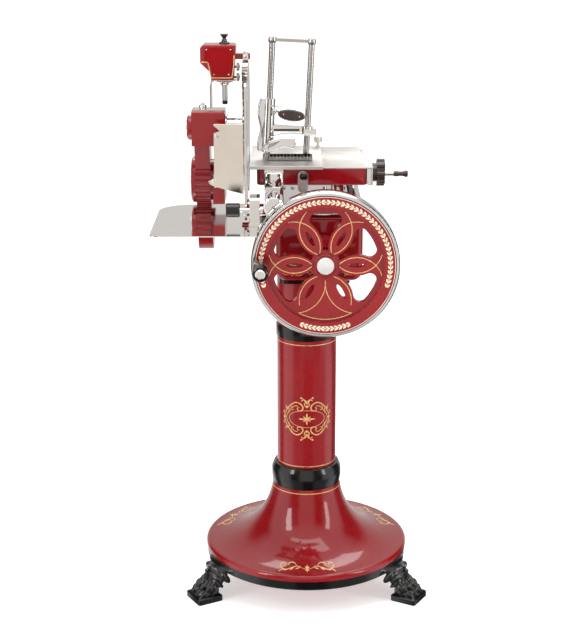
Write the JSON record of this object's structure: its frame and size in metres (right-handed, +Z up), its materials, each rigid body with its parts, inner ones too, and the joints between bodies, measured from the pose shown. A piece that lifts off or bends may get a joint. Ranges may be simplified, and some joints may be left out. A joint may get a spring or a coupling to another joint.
{
  "type": "deli meat slicer",
  "caption": "Hand-cranked flywheel meat slicer with round blade, sliding meat table and clamp tower, on a red column pedestal with cast paw feet.",
  "frame": {"origin": "on the floor, on the axis of the pedestal column", "axes": "+Z up along the column; -Y towards the person who turns the flywheel; +X along the meat table, away from the blade"},
  "size_m": [0.6851, 0.698, 1.433],
  "materials": {
    "red_enamel": "glossy deep red enamel",
    "black_enamel": "gloss black enamel on cast iron",
    "chrome": "bright polished chrome",
    "polished_steel": "mirror-polished stainless steel with faint brushing",
    "machined_steel": "oiled machined steel",
    "blade_steel": "ground blade steel",
    "dark_grip": "dark brown-black bakelite",
    "stone": "fine grey grinding stone"
  },
  "bodies": {
    "stand": {"pedestal_base": "red_enamel", "base_ring": "black_enamel", "foot_left": "black_enamel", "foot_right": "black_enamel", "foot_rear": "black_enamel", "column": "red_enamel", "column_collars": "black_enamel", "head_plate": "black_enamel", "machine_base": "red_enamel", "deck_plate": "polished_steel", "guide_bars": "chrome", "gear_housing": "red_enamel", "housing_caps": "red_enamel", "blade_sleeve": "chrome", "drive_chain": "machined_steel", "blade_guard": "chrome", "gauge_bracket": "chrome", "receiving_tray": "polished_steel", "sharpener_bracket": "polished_steel", "sharpener_arm": "red_enamel", "fasteners": "chrome"},
    "gauge": {"gauge_plate": "polished_steel"},
    "thickness": {"thickness_shaft": "chrome", "thickness_knob": "dark_grip"},
    "deflector": {"deflector_plate": "polished_steel"},
    "wheel": {"flywheel": "red_enamel", "flywheel_rim": "chrome", "flywheel_shaft": "chrome", "bevel_gear": "machined_steel", "handle_spindle": "chrome"},
    "handle": {"crank_handle": "dark_grip"},
    "cross": {"cross_shaft": "machined_steel", "bevel_pinion": "machined_steel", "drive_sprocket": "machined_steel", "crank_disc": "machined_steel"},
    "blade_unit": {"blade": "blade_steel", "blade_shaft": "machined_steel", "blade_sprocket": "machined_steel"},
    "rocker": {"rocker_arm": "machined_steel"},
    "carriage": {"carriage_body": "red_enamel", "carriage_bearings": "chrome", "carriage_table": "polished_steel", "end_bracket": "chrome"},
    "lock": {"lock_knob": "dark_grip"},
    "feed": {"feed_screw": "machined_steel", "handwheel": "dark_grip"},
    "feed_handle": {"feed_grip": "dark_grip"},
    "meat_table": {"meat_plate": "polished_steel", "tower_frame": "chrome", "spiked_bar": "machined_steel", "table_knob": "chrome"},
    "press": {"clamp_casting": "chrome"},
    "press_arm": {"press_lever": "chrome", "press_grip": "dark_grip"},
    "wedge": {"wedge_lever": "chrome"},
    "sharpener": {"sharpener_casing": "red_enamel"},
    "plunger": {"sharpener_plunger": "dark_grip"},
    "grinder": {"grinding_wheel": "stone"},
    "honer": {"honing_wheel": "stone"}
  },
  "joints": [
    {"name": "wheel_spin", "type": "hinge", "parent": "stand", "child": "wheel", "pos_m": [0.04, -0.25, 0.917], "axis": [0, 1, 0], "continuous": true},
    {"name": "handle_spin", "type": "hinge", "parent": "wheel", "child": "handle", "pos_m": [-0.113, -0.31, 0.917], "axis": [0, 1, 0], "continuous": true},
    {"name": "cross_spin", "type": "hinge", "parent": "stand", "child": "cross", "pos_m": [0, 0.15, 0.917], "axis": [1, 0, 0], "continuous": true},
    {"name": "blade_spin", "type": "hinge", "parent": "stand", "child": "blade_unit", "pos_m": [-0.15, 0, 1.205], "axis": [1, 0, 0], "continuous": true},
    {"name": "carriage_slide", "type": "slide", "parent": "stand", "child": "carriage", "axis": [0, 1, 0], "range_m": [-0.11, 0.06]},
    {"name": "rocker_swing", "type": "hinge", "parent": "stand", "child": "rocker", "pos_m": [0.115, 0.15, 0.87], "axis": [1, 0, 0], "range_deg": [-17.5, 32]},
    {"name": "lock_turn", "type": "hinge", "parent": "carriage", "child": "lock", "pos_m": [-0.01, -0.08, 1.097], "axis": [0, 1, 0], "range_deg": [0, 180]},
    {"name": "feed_turn", "type": "hinge", "parent": "carriage", "child": "feed", "pos_m": [0.18, -0.021, 1.096], "axis": [1, 0, 0], "range_deg": [-5700, 0]},
    {"name": "feed_handle_spin", "type": "hinge", "parent": "feed", "child": "feed_handle", "pos_m": [0.23, -0.041, 1.096], "axis": [1, 0, 0], "continuous": true},
    {"name": "meat_table_feed", "type": "slide", "parent": "carriage", "child": "meat_table", "axis": [1, 0, 0], "range_m": [0, 0.095]},
    {"name": "press_slide", "type": "slide", "parent": "meat_table", "child": "press", "axis": [0.0488, 0, 0.9988], "range_m": [0, 0.12]},
    {"name": "press_lever_turn", "type": "hinge", "parent": "press", "child": "press_arm", "pos_m": [-0.076, 0.02, 1.247], "axis": [0, 1, 0], "range_deg": [-40, 0]},
    {"name": "wedge_turn", "type": "hinge", "parent": "meat_table", "child": "wedge", "pos_m": [-0.103, -0.01, 1.158], "axis": [0, 1, 0], "range_deg": [-20, 0]},
    {"name": "gauge_slide", "type": "slide", "parent": "stand", "child": "gauge", "axis": [-1, 0, 0], "range_m": [0, 0.003]},
    {"name": "thickness_turn", "type": "hinge", "parent": "stand", "child": "thickness", "pos_m": [-0.18, -0.204, 1.038], "axis": [-1, 0, 0], "range_deg": [0, 300]},
    {"name": "deflector_swing", "type": "hinge", "parent": "stand", "child": "deflector", "pos_m": [-0.225, -0.062, 1.08], "axis": [0, 0, 1], "range_deg": [-50, 0]},
    {"name": "sharpener_shift", "type": "slide", "parent": "stand", "child": "sharpener", "axis": [1, 0, 0], "range_m": [0, 0.013]},
    {"name": "plunger_press", "type": "slide", "parent": "sharpener", "child": "plunger", "axis": [0, 0, -1], "range_m": [0, 0.006], "stiffness_N_per_m": 800, "springref_m": -0.004},
    {"name": "grinder_spin", "type": "hinge", "parent": "sharpener", "child": "grinder", "pos_m": [-0.17, -0.019, 1.356], "axis": [1, 0, 0], "continuous": true},
    {"name": "honer_spin", "type": "hinge", "parent": "sharpener", "child": "honer", "pos_m": [-0.17, -0.019, 1.331], "axis": [1, 0, 0], "continuous": true}
  ],
  "couplings": [
    {"joint": "cross_spin", "follows": "wheel_spin", "ratio": -1},
    {"joint": "blade_spin", "follows": "wheel_spin", "ratio": -3},
    {"joint": "rocker_swing", "follows": "carriage_slide", "rad_per_m": -5},
    {"joint": "feed_turn", "follows": "meat_table_feed", "rad_per_m": -1047.2},
    {"joint": "thickness_turn", "follows": "gauge_slide", "rad_per_m": 1745.3}
  ]
}
